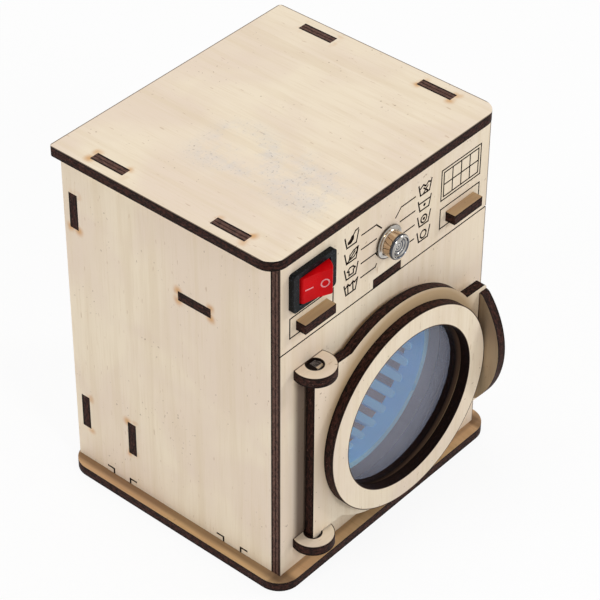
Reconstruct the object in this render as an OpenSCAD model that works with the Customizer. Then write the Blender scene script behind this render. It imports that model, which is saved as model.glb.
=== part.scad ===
// Toy washing machine, built from laser-cut plywood plates, with a door that opens, a drum
// turned by a small motor, a programme knob and a rocker switch.
// Millimetres. +X is to the right seen from the front, +Y runs to the back, +Z is up.
// The origin lies under the middle of the cabinet, on the underside of the base plate.

/* [Cabinet] */
// Thickness of the plywood sheet
ply = 2.7; // [2.5:0.1:2.9]
// Width over the two side panels
body_w = 76; // [75:1:84]
// Depth from the front panel's face to the side panels' rear edges
body_d = 68; // [67:1:76]
// Height from the underside of the base to the top face
height = 100; // [99:1:110]
// How far the back panel sits inside the side panels' rear edges
back_inset = 1.9; // [1:0.1:3]
// Length of the joining tabs
tab_len = 10.2; // [8:0.2:12]
// Distance of the side panels' tabs in front of and behind their middle
tab_y = 18.7; // [16:0.1:20]
// How far that middle lies behind the cabinet's middle
tab_mid_y = 0.3; // [0:0.1:1]
// Gap around each tab in its slot
tab_gap = 0.05; // [0.02:0.01:0.15]
// Distance of the front and back panels' lower tabs left and right of the middle
foot_tab_x = 20; // [16:1:24]

/* [Base plate] */
// How far the base stands out at the sides
base_side = 3.4; // [2:0.1:6]
// How far the base stands out in front
base_front = 3.5; // [2:0.1:3.6]
// How far the base stands out at the back
base_rear = 1; // [0.5:0.1:4]
// Corner radius of the base
base_r = 6; // [2:0.5:8]

/* [Top plate] */
// How far the top stands out at the sides
top_side = 2.7; // [1:0.1:5]
// How far the top stands out in front
top_front = 0.4; // [0.2:0.1:2]
// How far the top stands out at the back
top_rear = 0.9; // [0.2:0.1:3]
// Radius of the top's two front corners
top_front_r = 4.6; // [1:0.1:7]
// Radius of the top's two rear corners
top_rear_r = 1; // [0.5:0.1:5]

/* [Spring fingers of the side panels' feet] */
// Width of the cut beside each finger
slit_w = 0.55; // [0.3:0.05:0.6]
// Height of the cut's upper leg above the base's underside
slit_top = 4.5; // [4:0.1:6]
// Width of a finger
finger_w = 2; // [1.5:0.1:2.5]

/* [Inner plates] */
// Height of the back panel's lower tabs and of the motor plate's tabs
low_tab_z = 18.4; // [16:0.5:24]
// Distance of the back panel's upper tabs below the top face
high_tab_drop = 18.6; // [14:0.1:21]
// Distance of the motor plate in front of the back panel
motor_plate_gap = 13.3; // [12.8:0.1:14.5]
// Distance of the motor plate's upper edge below the shelf
motor_plate_drop = 10.3; // [4:0.1:16]
// Distance of the shelf's upper face below the top face
shelf_drop = 25; // [24.7:0.1:25.5]
// Gap between the shelf and the back panel
shelf_gap = 4.7; // [4.2:0.1:6]
// How far the shelf's side tabs lie in front of the middle
shelf_tab_y = 7.8; // [6:0.1:12]

/* [Engraving] */
// Depth of the engraved lines
engrave_d = 0.3; // [0.15:0.05:0.5]
// Width of the engraved lines
engrave_w = 0.4; // [0.25:0.05:0.5]
// Width of the programme symbols' lines
symbol_line_w = 0.45; // [0.3:0.05:0.6]
// Distance of the line under the control panel below the top face
control_line_drop = 27.7; // [27.6:0.1:30]
// Distance of the display's and the drawer frames' middle from the panel's edge
frame_in = 10.9; // [10:0.1:12]
// Width of the display and of the drawer frames
frame_w = 15; // [14:0.1:15.4]
// Height of the drawer frames
drawer_h = 5.7; // [5:0.1:5.8]
// Distance of the drawer frames' middle below the top face
drawer_drop = 21.5; // [21.2:0.1:22]
// Height of the display
display_h = 8.8; // [8:0.1:9.2]
// Distance of the display's middle below the top face
display_drop = 11.7; // [10.5:0.1:12]
// Width of the display's rim between its two frames
display_bar = 0.9; // [0.6:0.05:1.1]
// Distance of the programme symbols from the middle
symbol_x = 13.3; // [12.8:0.1:14]
// Width of a programme symbol
symbol_w = 4.8; // [4:0.1:5.4]
// Height of a programme symbol
symbol_h = 3; // [2.4:0.1:3.2]
// Distance from one programme symbol to the next
symbol_pitch = 4.55; // [4.3:0.05:4.6]
// Distance of the middle of both columns of symbols below the top face
symbol_drop = 15.4; // [15:0.1:16]
// Distance from one leader line to the next
leader_pitch = 4.1; // [3.9:0.05:4.4]

/* [Drawer pulls] */
// Length of a pull in front of the panel
pull_len = 10.6; // [9:0.1:12]
// How far a pull stands out of the panel
pull_out = 2.8; // [2:0.1:4]
// Distance of the pulls' middle below the top face
pull_drop = 21.7; // [21.2:0.1:22]
// Width of the shoulder behind the panel
pull_shoulder = 14; // [13.5:0.1:15]

/* [Rocker switch] */
// Width of the switch's rim
rim_w = 14.7; // [14.3:0.1:15]
// Height of the switch's rim
rim_h = 10.6; // [10:0.1:10.6]
// Thickness of the rim in front of the panel
rim_t = 1.5; // [1.2:0.1:1.8]
// Corner radius of the rim
rim_r = 1; // [0.5:0.1:1.2]
// Distance of the switch's middle from the panel's edge
switch_in = 10.3; // [10.2:0.1:11]
// Distance of the switch's middle below the top face
switch_drop = 11.1; // [11:0.1:11.6]
// Width of the switch's housing
housing_w = 13.2; // [13:0.1:13.6]
// Height of the switch's housing
housing_h = 9.4; // [9.2:0.1:9.6]
// Depth of the housing behind the panel's face
housing_d = 12; // [11:0.5:13]
// Depth of the rocker's hollow behind the panel's face
hollow_d = 8; // [7:0.5:9]
// Radius of the rocker's round ends about its pivot
rocker_r = 5.1; // [5:0.1:5.5]
// Height of the rocker
rocker_h = 7.1; // [7:0.1:7.6]
// Gap around the rocker in its hollow
rocker_gap = 0.25; // [0.15:0.05:0.3]
// Distance of the rocker's middle line in front of its pivot
rocker_front = 2.9; // [2.6:0.1:3]
// Slope of the rocker's two finger faces, in degrees
rocker_slope = 6; // [3:1:9]
// Angle the rocker is pressed to one side
rocker_tilt = 18; // [14:0.5:19]
// Radius of the rocker's pivot pins
pivot_r = 0.7; // [0.5:0.05:0.8]
// Depth of the pivot pins' holes in the housing
pivot_len = 0.5; // [0.4:0.05:0.6]
// Distance from the middle of the switch to each solder blade
blade_x = 2.4; // [2:0.1:3]
// Length of a solder blade
blade_len = 6; // [5:0.5:7]

/* [Knob] */
// Radius of the knob
knob_r = 3.3; // [2.8:0.1:3.6]
// Radius of the knob's flange
knob_flange_r = 4.4; // [4:0.1:4.6]
// Thickness of the knob's flange
knob_flange_t = 0.6; // [0.4:0.1:0.9]
// How far the knob stands out of the panel
knob_out = 4; // [3:0.1:6]
// Distance of the knob's middle below the top face
knob_drop = 16.5; // [15.6:0.1:17]
// Radius of the knob's spindle
spindle_r = 1.5; // [1.2:0.1:1.8]
// Running play of the spindle in the panel
spindle_play = 0.05; // [0.02:0.01:0.1]
// Radius of the collar that holds the knob behind the panel
collar_r = 3; // [2.4:0.1:3.6]
// Thickness of that collar
collar_t = 1.4; // [1:0.1:2]
// Gap between the panel and the knob's flange or collar
knob_gap = 0.1; // [0.05:0.05:0.3]

/* [Door] */
// Distance of the hinge axis left of the middle
hinge_x = 28.2; // [27.9:0.1:28.6]
// Distance of the hinge axis in front of the panel
hinge_out = 2.1; // [2.1:0.05:2.4]
// How far the door stands ajar at rest, in degrees
ajar = 2; // [0:0.5:4]
// Height of the door's and the drum's middle
door_z = 36.4; // [36.2:0.1:36.8]
// Radius of the door plate's disc
door_r = 30.9; // [30.4:0.1:31.2]
// Height of the hinge flange
flange_h = 50.2; // [48:0.1:52]
// Height of the hinge flange's middle
flange_z = 37.2; // [36.6:0.1:37.6]
// How far the hinge flange reaches past the axis
flange_edge = 1.4; // [1.3:0.05:1.45]
// Height of the flange that carries the handle
grip_h = 36.6; // [36:0.1:38]
// Corner radius of the flange that carries the handle
grip_r = 1; // [0.5:0.1:2]
// Height of the middle of the handle and its flange
grip_z = 35.9; // [35.4:0.1:36.4]
// Radius of the hole in the door plate
window_hole_r = 22; // [21.6:0.1:22.6]
// Thickness of the window pane
window_t = 1; // [0.8:0.1:1.5]
// Gap around the pane in the door plate
window_gap = 0.05; // [0.02:0.01:0.15]
// Outer radius of the ring in front of the window
ring_r = 28; // [27.2:0.1:28.4]
// Radius of the ring's opening
ring_hole_r = 22.3; // [21.8:0.1:22.8]
// How far the ring lies right of the door's middle
ring_x = 1.9; // [1.2:0.1:2]
// How far the ring lies below the door's middle
ring_drop = 1.3; // [1:0.1:1.6]

/* [Hinge] */
// Radius of the round hinge lugs
lug_r = 5.4; // [4.8:0.1:5.6]
// Radius of the holes in the hinge lugs
lug_hole_r = 2; // [1.9:0.05:2.05]
// Play of the door's pins in these holes
pin_play = 0.07; // [0.04:0.01:0.1]
// Gap between the hinge flange and each lug
lug_gap = 0.3; // [0.2:0.05:0.5]
// How far the pins end inside the lugs' outer faces
pin_short = 0.4; // [0.2:0.1:1]

/* [Handle] */
// Radius of the handle's curved front edge
handle_arc = 25.9; // [25:0.1:28]
// How far the handle stands out of the door plate
handle_out = 7.1; // [6:0.1:9]
// Height of the handle
handle_h = 34; // [30:0.1:34.6]
// Radius of the handle's rounded ends
handle_end_r = 1.8; // [1:0.1:2]
// Length of the handle's tabs
handle_tab = 6; // [4:0.5:7]
// Gap between the handle and the ring
handle_gap = 0.1; // [0.05:0.05:0.5]

/* [Drum] */
// Outer radius of the drum
drum_r = 25; // [24.6:0.1:25.2]
// Thickness of the drum's wall
drum_wall = 1.2; // [1:0.1:1.5]
// Depth of the drum
drum_d = 26.6; // [25:0.1:27]
// Distance of the drum's rim behind the front panel's face
drum_back = 5.6; // [5:0.1:6]
// Thickness of the raised rim around the mouth
drum_rim = 0.6; // [0.3:0.1:0.8]
// Number of slots around the drum
slot_count = 32; // [24:2:36]
// Width of a slot
slot_w = 2.1; // [1.6:0.1:2.3]
// Length of a slot
slot_len = 15.5; // [12:0.5:16]
// Distance of the slots behind the rim
slot_back = 5.5; // [4.5:0.1:7]
// How far the round-ended ribs between the slots start in front of them
rib_ahead = 2; // [1:0.1:3]
// Width of such a rib
rib_w = 2.1; // [1.5:0.1:2.2]
// How far it stands out of the wall
rib_out = 0.4; // [0.2:0.05:0.6]
// Radius of the hole in the front panel
mouth_r = 25.6; // [25.4:0.1:26.4]
// Radius of the hub behind the drum's floor
hub_r = 9; // [7:0.5:10]
// Length of that hub
hub_len = 2.4; // [2:0.1:3]

/* [Motor] */
// Diameter of the motor's can
motor_dia = 20; // [19.6:0.1:20.4]
// Height of the motor's can across its flats
motor_flat = 15; // [14.8:0.1:15.4]
// Length of the motor's can
can_len = 20; // [19.5:0.1:20.4]
// How far the can stands out in front of the motor plate
can_front = 9.6; // [9:0.1:10]
// Thickness of the can's sheet
can_t = 0.6; // [0.5:0.1:0.8]
// Length of the motor's end cap
cap_len = 4.6; // [4:0.1:4.8]
// Radius of the bearing bosses
boss_r = 3; // [2.5:0.1:4]
// Length of the front bearing boss
boss_len = 1.6; // [1:0.1:2]
// Radius of the motor's shaft
shaft_r = 1; // [0.8:0.1:1.2]
// Running play of the shaft
shaft_play = 0.05; // [0.02:0.01:0.1]
// Radius of the rotor
rotor_r = 6.2; // [5.5:0.1:6.4]
// Length of the rotor
rotor_len = 9; // [7:0.5:11]
// Thickness of the magnets
magnet_t = 2.4; // [2:0.1:2.5]
// Length of the magnets
magnet_len = 13; // [10:0.5:15]
// Distance of the motor's solder tags from its middle
motor_tag_x = 4; // [3:0.1:5]

/* [Batteries] */
// Diameter of a battery
cell_dia = 14.2; // [13.8:0.1:14.5]
// Length of a battery without its pip
cell_len = 49.2; // [48:0.1:50]
// Length of a battery's pip
pip_len = 1.1; // [0.8:0.1:1.6]
// Gap beside each battery
cell_gap = 0.3; // [0.1:0.1:0.6]
// Room for the spring at a battery's flat end
spring_room = 4.1; // [3:0.1:5]
// Height of the battery holder's walls
holder_h = 14.6; // [14.4:0.1:16]
// Thickness of the battery holder's walls
holder_t = 1.4; // [1.2:0.1:1.6]
// Distance of the holder from the shelf's rear edge
holder_margin = 0.9; // [0.4:0.1:1.4]
// Distance of the holder's screws from the middle
screw_x = 18; // [15:0.5:21]
// Radius of the holder's screws
screw_r = 1.2; // [1:0.1:1.3]
// Radius of the wires
wire_r = 0.7; // [0.5:0.05:0.8]

/* [Fits] */
// Gap of what is pressed on a shaft or spindle
press_gap = 0.02; // [0.01:0.01:0.05]

/* [Hidden] */
$fn = 72;
over = 0.5;                                  // cutters run this far past a face
front_y = -body_d / 2;                       // front panel's face
panel_back = front_y + ply;                  // front panel's back
rear_y = body_d / 2;                         // side panels' rear edges
side_in = body_w / 2 - ply;                  // inner faces of the side panels
back_y = rear_y - back_inset - ply;          // inner face of the back panel
plate_y = back_y - motor_plate_gap - ply;    // front face of the motor plate
top_z = height - ply;                        // underside of the top plate
high_tab_z = height - high_tab_drop;
shelf_z = height - shelf_drop;               // upper face of the shelf
shelf_low = shelf_z - ply;                   // underside of the shelf
shelf_rear = back_y - shelf_gap;
motor_plate_top = shelf_low - motor_plate_drop;
control_line_z = height - control_line_drop;
frame_x = body_w / 2 - frame_in;             // middles of all that is set into the front panel
drawer_z = height - drawer_drop;
display_z = height - display_drop;
symbol_z = height - symbol_drop;
pull_z = height - pull_drop;
switch_x = body_w / 2 - switch_in;
switch_z = height - switch_drop;
knob_z = height - knob_drop;
hinge_y = front_y - hinge_out;               // hinge axis, and middle plane of the door plate
door_face = hinge_y - ply / 2;               // front face of the door plate
door_back = hinge_y + ply / 2;               // rear face of the door plate
flange_top = flange_z + flange_h / 2;
flange_bottom = flange_z - flange_h / 2;
flange_in = 16.7;                            // both flanges run this far in over the disc
upper_lug_z = flange_top + lug_gap;
lower_lug_z = flange_bottom - lug_gap - ply;
lug_tab_w = 2 * sqrt(pow(lug_r, 2) - pow(hinge_out, 2));
grip_x = ring_x + ring_r + handle_gap;       // handle's left face
drum_y = front_y + drum_back;                // drum's rim
drum_end = drum_y + drum_d;                  // back of the drum's floor
motor_y = plate_y - can_front;               // front face of the motor's can
cap_y = motor_y + can_len;                   // front face of the motor's end cap
magnet_y = motor_y + (can_len - magnet_len) / 2;
rotor_y = motor_y + (can_len - rotor_len) / 2;
rotor_core = 2.8;                            // core and pole gaps of the rotor
pole_gap = 1.6;
commutator_r = 2.2;
commutator_len = 3;
shaft_in = 3;                                // how far the shaft reaches into the drum's hub and cap
tag_t = 0.4;                                 // sheet brass of all contacts and tags
tag_w = 3;
tag_out = 2.2;
motor_tag_y = cap_y + cap_len / 2;
motor_top = door_z + motor_flat / 2;
opening_w = 2 * (rocker_r + rocker_gap);     // the rocker's hollow in the switch
opening_h = rocker_h + 2 * rocker_gap;
blade_y = front_y + housing_d;               // solder blades start at the housing's back
blade_t = 0.8;
blade_h = 4;
mark_r = 1.15;                               // the marks O and I on the rocker
mark_x = 2.1;
mark_w = 0.3;
mark_d = 0.15;
holder_w = 2 * (cell_dia + holder_t) + 3 * cell_gap;
holder_l = cell_len + pip_len + spring_room + 2 * (tag_t + holder_t);
holder_mid = shelf_rear - holder_margin - holder_w / 2;
cell_y = (cell_dia + cell_gap) / 2;          // distance of a battery's middle from the holder's
cell_z = shelf_z + holder_t + tab_gap + cell_dia / 2;
contact_x = holder_l / 2 - holder_t - tag_t; // inner faces of the contacts
cell_x = contact_x - pip_len - cell_len;     // flat end of the front battery
pip_r = 2.6;
spring_w = 6;
rib_l = 24;                                  // low rib between the two batteries
rib_h = 2;
head_r = 2.1;                                // screws and nuts under the shelf
head_h = 1.2;
nut_r = 2.6;
nut_h = 2;
wire_z = switch_z - 1.4;                     // level of the wires at switch and holder
wire_tag_x = -(holder_l + tag_out) / 2;      // wires on the holder's tags
wire_hole_gap = 3.7;                         // from the holder to the wire's hole in the shelf
wire_hole_y = holder_mid - holder_w / 2 - wire_hole_gap;
wire_low_z = (motor_plate_top + shelf_low) / 2; // level of the wires over the motor plate
wire_pitch = 3;                              // the black wire crosses this far above the red one
wire_high_z = wire_low_z + wire_pitch;

// A box from its lowest corner to its highest corner
module block(a, b) translate(a) cube(b - a);

// Cylinders that start at p and run to the back, upwards or to the right
module rod_y(p, len, r) translate(p) rotate([-90, 0, 0]) cylinder(h = len, r = r);
module rod_z(p, len, r) translate(p) cylinder(h = len, r = r);
module rod_x(p, len, r) translate(p) rotate([0, 90, 0]) cylinder(h = len, r = r);

// Cutter that rounds one upright corner of a plate; sx and sy point out of it there
module corner_cut(x, y, sx, sy, r) {
    translate([x - sx * r, y - sy * r, -over])
        difference() {
            translate([sx > 0 ? 0 : -r - over, sy > 0 ? 0 : -r - over, 0])
                cube([r + over, r + over, ply + 2 * over]);
            translate([0, 0, -over]) cylinder(h = ply + 4 * over, r = r);
        }
}

// A flat plate on z = 0 with rounded corners
module rounded_plate(x, y_front, y_rear, r_front, r_rear) {
    difference() {
        block([-x, y_front, 0], [x, y_rear, ply]);
        for (s = [-1, 1]) {
            corner_cut(s * x, y_front, s, -1, r_front);
            corner_cut(s * x, y_rear, s, 1, r_rear);
        }
    }
}

// Upright slots for the side panels' tabs, through a plate on z = 0
module side_tab_slots() {
    for (s = [-1, 1], t = [-1, 1])
        translate([s * (body_w - ply) / 2, tab_mid_y + t * tab_y, ply / 2])
            cube([ply + 2 * tab_gap, tab_len + 2 * tab_gap, ply + 2 * over], center = true);
}

// Slots in the base for an upright plate's two lower tabs; y is that plate's front face
module foot_tab_slots(y) {
    for (s = [-1, 1])
        block([s * foot_tab_x - tab_len / 2 - tab_gap, y - tab_gap, -over],
              [s * foot_tab_x + tab_len / 2 + tab_gap, y + ply + tab_gap, ply + over]);
}

// The two lower tabs themselves
module foot_tabs(y) {
    for (s = [-1, 1])
        block([s * foot_tab_x - tab_len / 2, y, 0], [s * foot_tab_x + tab_len / 2, y + ply, ply + over]);
}

// A pair of tabs that reaches through both side panels; y is the plate's front face
module side_tabs(y, z) {
    block([-body_w / 2, y, z - tab_len / 2], [body_w / 2, y + ply, z + tab_len / 2]);
}

// Base: rounded plate under the cabinet, slotted for every upright plate
module base_plate() {
    color([0.79, 0.66, 0.48])
    difference() {
        rounded_plate(body_w / 2 + base_side, front_y - base_front, rear_y + base_rear, base_r, base_r);
        side_tab_slots();
        for (y = [front_y, plate_y, back_y]) foot_tab_slots(y);
    }
}

// Top: plate with rounded front corners, pushed over the side panels' upper tabs
module top_plate() {
    color([0.92, 0.86, 0.77])
    translate([0, 0, top_z])
    difference() {
        rounded_plate(body_w / 2 + top_side, front_y - top_front, rear_y + top_rear,
                      top_front_r, top_rear_r);
        side_tab_slots();
    }
}

// L-shaped cut that frees one spring finger; s is the side of the tab it lies on
module finger_slit(s) {
    inner = tab_len / 2 - finger_w;
    translate([0, s * (inner - slit_w / 2), (slit_top - over) / 2])
        cube([ply + 2 * over, slit_w, slit_top + over], center = true);
    translate([0, s * (inner + finger_w / 2 - slit_w / 2), slit_top - slit_w / 2])
        cube([ply + 2 * over, finger_w + slit_w, slit_w], center = true);
}

// Slot in a side panel for an upright plate's tab; y is that plate's front face
module side_slot(y, z) {
    block([side_in - over, y - tab_gap, z - tab_len / 2 - tab_gap],
          [body_w / 2 + over, y + ply + tab_gap, z + tab_len / 2 + tab_gap]);
}

// Side panel, drawn on the right-hand side; its feet end in spring fingers
module side_panel() {
    shelf_tab_front = -shelf_tab_y - tab_len / 2;
    color([0.84, 0.78, 0.69])
    difference() {
        union() {
            block([side_in, panel_back, ply], [body_w / 2, rear_y, top_z]);
            for (t = [-1, 1])
                block([side_in, tab_mid_y + t * tab_y - tab_len / 2, 0],
                      [body_w / 2, tab_mid_y + t * tab_y + tab_len / 2, height]);
        }
        for (t = [-1, 1], s = [-1, 1])
            translate([side_in + ply / 2, tab_mid_y + t * tab_y, 0]) finger_slit(s);
        for (z = [low_tab_z, high_tab_z]) side_slot(back_y, z);
        side_slot(plate_y, low_tab_z);
        block([side_in - over, shelf_tab_front - tab_gap, shelf_low - tab_gap],
              [body_w / 2 + over, shelf_tab_front + tab_len + tab_gap, shelf_z + tab_gap]);
    }
}
module right_side_panel() side_panel();
module left_side_panel() mirror([1, 0, 0]) side_panel();

// One engraved stroke on the front panel's face, between two points given as [x, z]
module stroke(a, b, w = engrave_w) {
    d = b - a;
    translate([a[0], front_y, a[1]])
        rotate([0, -atan2(d[1], d[0]), 0])
            translate([-w / 2, -over, -w / 2]) cube([norm(d) + w, engrave_d + over, w]);
}

// A chain of engraved strokes
module strokes(points, w = engrave_w) {
    for (i = [0 : len(points) - 2]) stroke(points[i], points[i + 1], w);
}

// An engraved frame around the middle [x, z]
module frame(x, z, w, h) {
    strokes([[x - w / 2, z - h / 2], [x + w / 2, z - h / 2], [x + w / 2, z + h / 2],
             [x - w / 2, z + h / 2], [x - w / 2, z - h / 2]]);
}

// Points of a symbol, given from -1 to 1 over its width and height, as places on the panel
function on_symbol(x, z, points) = [for (p = points) [x + p[0] * symbol_w / 2, z + p[1] * symbol_h / 2]];

// Lines, a filled shape, a ring and a dot of a symbol
module symbol_lines(x, z, points) strokes(on_symbol(x, z, points), symbol_line_w);
module symbol_shape(x, z, points) {
    translate([0, front_y + engrave_d, 0]) rotate([90, 0, 0])
        linear_extrude(engrave_d + over) polygon(on_symbol(x, z, points));
}
module symbol_ring(x, z, r) {
    difference() {
        rod_y([x, front_y - over, z], engrave_d + over, r + symbol_line_w / 2);
        rod_y([x, front_y - 2 * over, z], engrave_d + 3 * over, r - symbol_line_w / 2);
    }
}
module symbol_dot(x, z) rod_y([x, front_y - over, z], engrave_d + over, symbol_line_w);

// A programme symbol: a wash tub with a hand, a leaf, a shirt, washing, a wave, a dot or rings in it
module wash_symbol(x, z, kind) {
    ring_r = 0.36 * symbol_h;
    symbol_lines(x, z, [[-1, 1], [-0.7, -1], [0.7, -1], [1, 1]]);
    if (kind == "hand") {
        symbol_shape(x, z, [[-0.6, -0.5], [-0.1, -0.6], [0.3, -0.1], [0.35, 0.6], [0, 0.9],
                            [-0.25, 0.3], [-0.6, 0]]);
        symbol_lines(x, z, [[0.2, 0.7], [0.55, 1.35], [0.95, 1.4]]);
    }
    if (kind == "leaf") {
        symbol_lines(x, z, [[-0.35, -0.6], [-0.2, 0.3], [0.3, 0.8], [0.9, 1], [0.8, 0.2], [0.4, -0.4],
                            [-0.35, -0.6]]);
        symbol_lines(x, z, [[-0.6, -0.9], [0.5, 0.5]]);
    }
    if (kind == "shirt")
        symbol_lines(x, z, [[-0.55, 0.4], [-0.2, 0.9], [0.25, 0.9], [0.6, 0.4], [0.35, 0.2], [0.35, -0.5],
                            [-0.3, -0.5], [-0.3, 0.2], [-0.55, 0.4]]);
    if (kind == "washing") {
        symbol_lines(x, z, [[-0.8, 0.4], [-0.45, 0.9], [-0.1, 0.4], [0.3, 0.9], [0.6, 0.5], [0.9, 0.9]]);
        symbol_lines(x, z, [[-0.45, 0.6], [-0.4, -0.8]]);
        symbol_lines(x, z, [[0.3, 0.6], [0.35, -0.8]]);
    }
    if (kind == "wave") {
        symbol_lines(x, z, [[-0.8, 0.3], [-0.3, 0.8], [0.1, 0.3], [0.5, 0.8], [0.9, 0.5]]);
        symbol_lines(x, z, [[-0.2, 0.1], [0.4, -0.8]]);
        symbol_lines(x, z, [[0.4, 0.1], [-0.2, -0.8]]);
    }
    if (kind == "dot") {
        symbol_lines(x, z, [[-0.9, 0.5], [0.9, 0.5]]);
        symbol_dot(x, z - 0.1 * symbol_h);
    }
    if (kind == "rings") {
        symbol_ring(x, z + 0.05 * symbol_h, ring_r);
        symbol_dot(x, z + 0.05 * symbol_h);
    }
    if (kind == "ring") symbol_ring(x, z + 0.05 * symbol_h, ring_r);
}

// Engraved display: a double frame with two rows of four cells
module display() {
    w = frame_w - 2 * display_bar;
    h = display_h - 2 * display_bar;
    frame(frame_x, display_z, frame_w, display_h);
    frame(frame_x, display_z, w, h);
    stroke([frame_x - w / 2, display_z], [frame_x + w / 2, display_z]);
    for (i = [-1, 0, 1])
        stroke([frame_x + i * w / 4, display_z - h / 2], [frame_x + i * w / 4, display_z + h / 2]);
}

// Leader lines from the symbols to the knob; each ends in a short tail given as [inwards, up]
module leader_lines() {
    tails = [[0.4, 0.7], [0.8, -1.2], [0.1, 0], [1.9, -2]];
    start = symbol_x - symbol_w / 2 - 1.2;
    end = knob_flange_r + 0.1;
    for (s = [-1, 1], i = [0 : 3])
        let (z = symbol_z + (i - 1.5) * leader_pitch)
            strokes([[s * start, z], [s * end, z], [s * (end - tails[i][0]), z + tails[i][1]]]);
}

// Everything engraved on the front panel
module engraving() {
    left = ["washing", "shirt", "leaf", "hand"];
    right = ["ring", "rings", "dot", "wave"];
    stroke([-body_w / 2 - over, control_line_z], [body_w / 2 + over, control_line_z]);
    for (s = [-1, 1]) frame(s * frame_x, drawer_z, frame_w, drawer_h);
    display();
    leader_lines();
    for (i = [0 : 3])
        let (z = symbol_z + (i - 1.5) * symbol_pitch) {
            wash_symbol(-symbol_x, z, left[i]);
            wash_symbol(symbol_x, z, right[i]);
        }
}

// Level slot through the front panel; z is the lower face of the plate it takes
module panel_slot(x, z, len) {
    block([x - len / 2 - tab_gap, front_y - over, z - tab_gap],
          [x + len / 2 + tab_gap, panel_back + over, z + ply + tab_gap]);
}

// Front panel: covers the side panels' front edges and carries all that is worked from in front
module front_panel() {
    color([0.88, 0.81, 0.73])
    difference() {
        union() {
            block([-body_w / 2, front_y, ply], [body_w / 2, panel_back, top_z]);
            foot_tabs(front_y);
        }
        rod_y([0, front_y - over, door_z], ply + 2 * over, mouth_r);
        rod_y([0, front_y - over, knob_z], ply + 2 * over, spindle_r + spindle_play);
        translate([-switch_x, front_y + ply / 2, switch_z])
            cube([housing_w + 2 * tab_gap, ply + 2 * over, housing_h + 2 * tab_gap], center = true);
        for (s = [-1, 1]) panel_slot(s * frame_x, pull_z - ply / 2, pull_len);
        panel_slot(0, shelf_low, tab_len);
        for (z = [upper_lug_z, lower_lug_z]) panel_slot(-hinge_x, z, lug_tab_w);
        engraving();
    }
}

// Back panel: between the side panels, held by two tabs on each side and two below
module back_panel() {
    color([0.84, 0.76, 0.65])
    union() {
        block([-side_in, back_y, ply], [side_in, back_y + ply, top_z]);
        foot_tabs(back_y);
        for (z = [low_tab_z, high_tab_z]) side_tabs(back_y, z);
    }
}

// The motor's outline from y over a length, round with two flats; grow widens it all round
module motor_outline(y, len, grow) {
    intersection() {
        rod_y([0, y, door_z], len, motor_dia / 2 + grow);
        block([-motor_dia, y - over, door_z - motor_flat / 2 - grow],
              [motor_dia, y + len + over, door_z + motor_flat / 2 + grow]);
    }
}

// Motor plate: upright plate across the cabinet that grips the motor's can
module motor_plate() {
    color([0.83, 0.74, 0.62])
    difference() {
        union() {
            block([-side_in, plate_y, ply], [side_in, plate_y + ply, motor_plate_top]);
            foot_tabs(plate_y);
            side_tabs(plate_y, low_tab_z);
        }
        motor_outline(plate_y - over, ply + 2 * over, tab_gap);
    }
}

// Shelf above the drum: carries the battery holder; one tab shows in the front panel
module shelf() {
    color([0.84, 0.75, 0.63])
    difference() {
        union() {
            block([-side_in, panel_back, shelf_low], [side_in, shelf_rear, shelf_z]);
            block([-tab_len / 2, front_y, shelf_low], [tab_len / 2, panel_back + over, shelf_z]);
            block([-body_w / 2, -shelf_tab_y - tab_len / 2, shelf_low],
                  [body_w / 2, -shelf_tab_y + tab_len / 2, shelf_z]);
        }
        for (s = [-1, 1])
            rod_z([s * screw_x, holder_mid, shelf_low - over], ply + 2 * over, screw_r + tab_gap);
        rod_z([blade_x - switch_x, wire_hole_y, shelf_low - over], ply + 2 * over, 2 * wire_r);
    }
}

// Drawer pull: a strip through the front panel with a wider shoulder behind it
module drawer_pull(x) {
    color([0.80, 0.66, 0.48])
    union() {
        block([x - pull_len / 2, front_y - pull_out, pull_z - ply / 2],
              [x + pull_len / 2, panel_back + over, pull_z + ply / 2]);
        block([x - pull_shoulder / 2, panel_back, pull_z - ply / 2],
              [x + pull_shoulder / 2, panel_back + ply, pull_z + ply / 2]);
    }
}
module left_drawer_pull() drawer_pull(-frame_x);
module right_drawer_pull() drawer_pull(frame_x);

// Hinge lug: round ear with a hole, glued in a slot of the front panel; z is its lower face
module hinge_lug(z) {
    color([0.86, 0.78, 0.68])
    difference() {
        union() {
            intersection() {
                rod_z([-hinge_x, hinge_y, z], ply, lug_r);
                block([-hinge_x - lug_r, hinge_y - lug_r, z - over],
                      [-hinge_x + lug_r, front_y, z + ply + over]);
            }
            block([-hinge_x - lug_tab_w / 2, front_y, z], [-hinge_x + lug_tab_w / 2, panel_back, z + ply]);
        }
        rod_z([-hinge_x, hinge_y, z - over], ply + 2 * over, lug_hole_r);
    }
}
module upper_hinge_lug() hinge_lug(upper_lug_z);
module lower_hinge_lug() hinge_lug(lower_lug_z);

// Turns the door's pieces about the hinge axis to where the door stands at rest
module door_pose() {
    translate([-hinge_x, hinge_y, 0]) rotate([0, 0, -ajar]) translate([hinge_x, -hinge_y, 0])
        children();
}

// One pin of the door plate, cut from the same sheet with its narrow edges turned round
module door_pin(z, len) {
    intersection() {
        rod_z([-hinge_x, hinge_y, z], len, lug_hole_r - pin_play);
        block([-hinge_x - lug_r, door_face, z - over], [-hinge_x + lug_r, door_back, z + len + over]);
    }
}

// A tab of the handle in the door plate; gap widens it and out runs it past both faces
module handle_tab_block(s, gap, out) {
    z = grip_z + s * handle_h / 4;
    block([grip_x - gap, door_face - out, z - handle_tab / 2 - gap],
          [grip_x + ply + out, door_back + out, z + handle_tab / 2 + gap]);
}

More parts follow.
